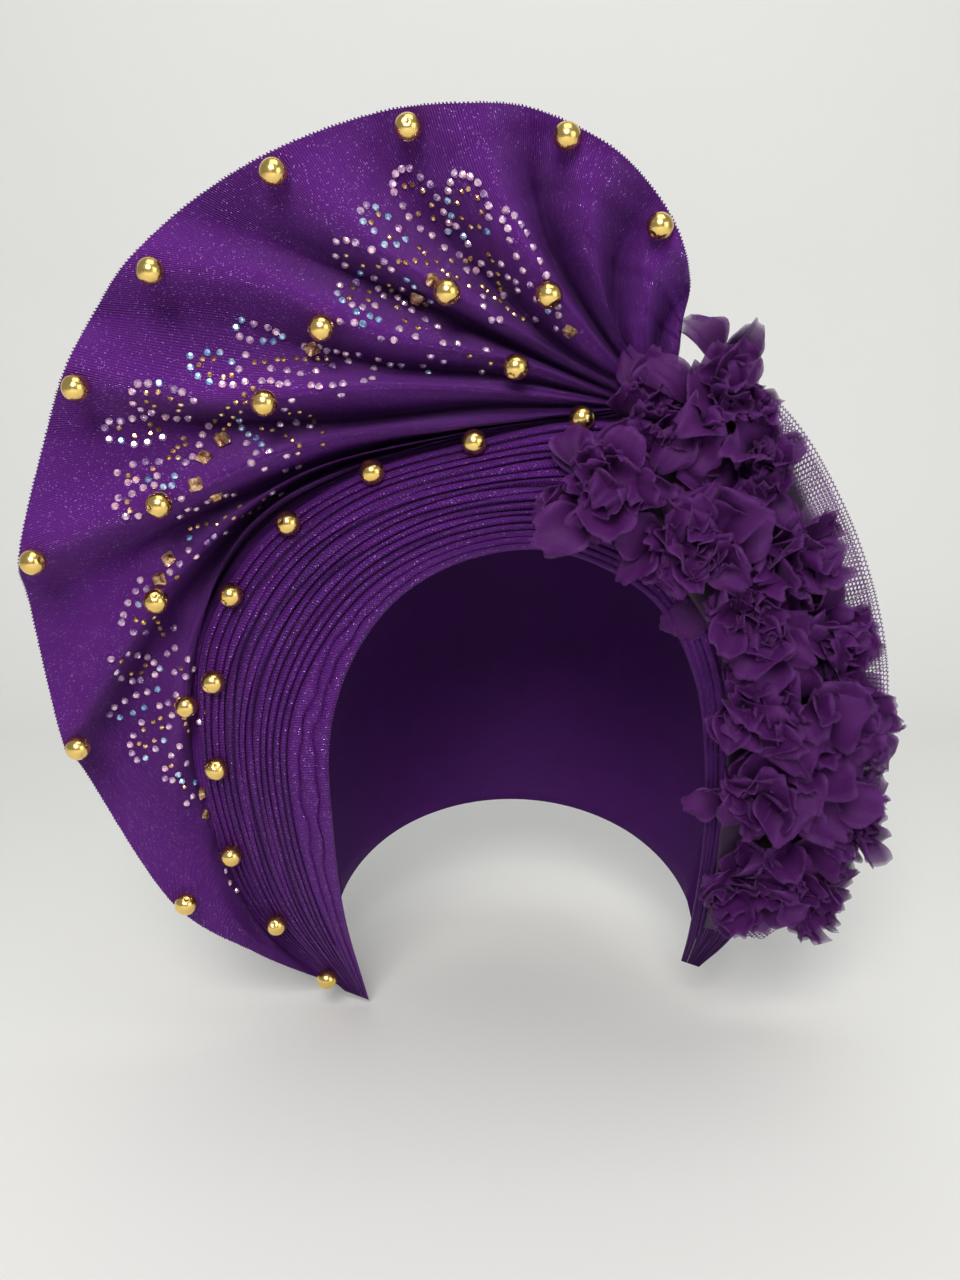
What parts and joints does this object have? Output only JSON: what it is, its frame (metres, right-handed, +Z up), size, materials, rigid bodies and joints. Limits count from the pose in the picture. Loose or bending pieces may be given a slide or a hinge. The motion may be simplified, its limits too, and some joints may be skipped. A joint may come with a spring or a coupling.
{
  "type": "ready-tied head tie",
  "caption": "Ready-tied gele of stiff ribbed purple cloth: a tall pleated fan, a pleated band round the face, a head cap, chiffon flowers on net, gold beads and stones",
  "frame": {"origin": "the crown of the wearer's head, on the inside of the cap", "axes": "+Z is up as worn, the wearer faces -Y, and +X is to the right of someone looking at the face"},
  "size_m": [0.2836, 0.1884, 0.3239],
  "materials": {
    "cap_cloth": "plain stiff cap cloth",
    "pleated_cloth": "ribbed cloth with fine glitter, pressed into narrow pleats",
    "rolled_cloth": "ribbed cloth with fine glitter, in soft rolls",
    "ribbed_cloth": "stiff ribbed cloth with fine glitter",
    "net": "open hexagonal net",
    "chiffon": "translucent chiffon with cut edges",
    "gold": "bright polished ball beads",
    "square_crystal": "foil-backed square cut stones",
    "round_crystal": "foil-backed round stones with a rainbow coat",
    "amber_crystal": "foil-backed small round stones"
  },
  "bodies": {
    "root": {"head_cap": "cap_cloth", "pleated_band": "pleated_cloth", "face_band": "rolled_cloth", "fan": "ribbed_cloth", "tulle_net": "net", "flower_01": "chiffon", "flower_02": "chiffon", "flower_03": "chiffon", "flower_04": "chiffon", "flower_05": "chiffon", "flower_06": "chiffon", "flower_07": "chiffon", "flower_08": "chiffon", "flower_09": "chiffon", "flower_10": "chiffon", "flower_11": "chiffon", "flower_12": "chiffon", "flower_13": "chiffon", "flower_14": "chiffon", "bead_rim_01": "gold", "bead_rim_02": "gold", "bead_rim_03": "gold", "bead_rim_04": "gold", "bead_rim_05": "gold", "bead_rim_06": "gold", "bead_rim_07": "gold", "bead_rim_08": "gold", "bead_rim_09": "gold", "bead_rim_10": "gold", "bead_middle_01": "gold", "bead_middle_02": "gold", "bead_middle_03": "gold", "bead_middle_04": "gold", "bead_middle_05": "gold", "bead_middle_06": "gold", "bead_middle_07": "gold", "bead_middle_08": "gold", "bead_band_01": "gold", "bead_band_02": "gold", "bead_band_03": "gold", "bead_band_04": "gold", "bead_band_05": "gold", "bead_band_06": "gold", "bead_band_07": "gold", "bead_band_08": "gold", "bead_band_09": "gold", "square_stone_01": "square_crystal", "square_stone_02": "square_crystal", "square_stone_03": "square_crystal", "square_stone_04": "square_crystal", "square_stone_05": "square_crystal", "square_stone_06": "square_crystal", "square_stone_07": "square_crystal", "square_stone_08": "square_crystal", "square_stone_09": "square_crystal", "square_stone_10": "square_crystal", "square_stone_11": "square_crystal", "square_stone_12": "square_crystal"}
  },
  "joints": []
}
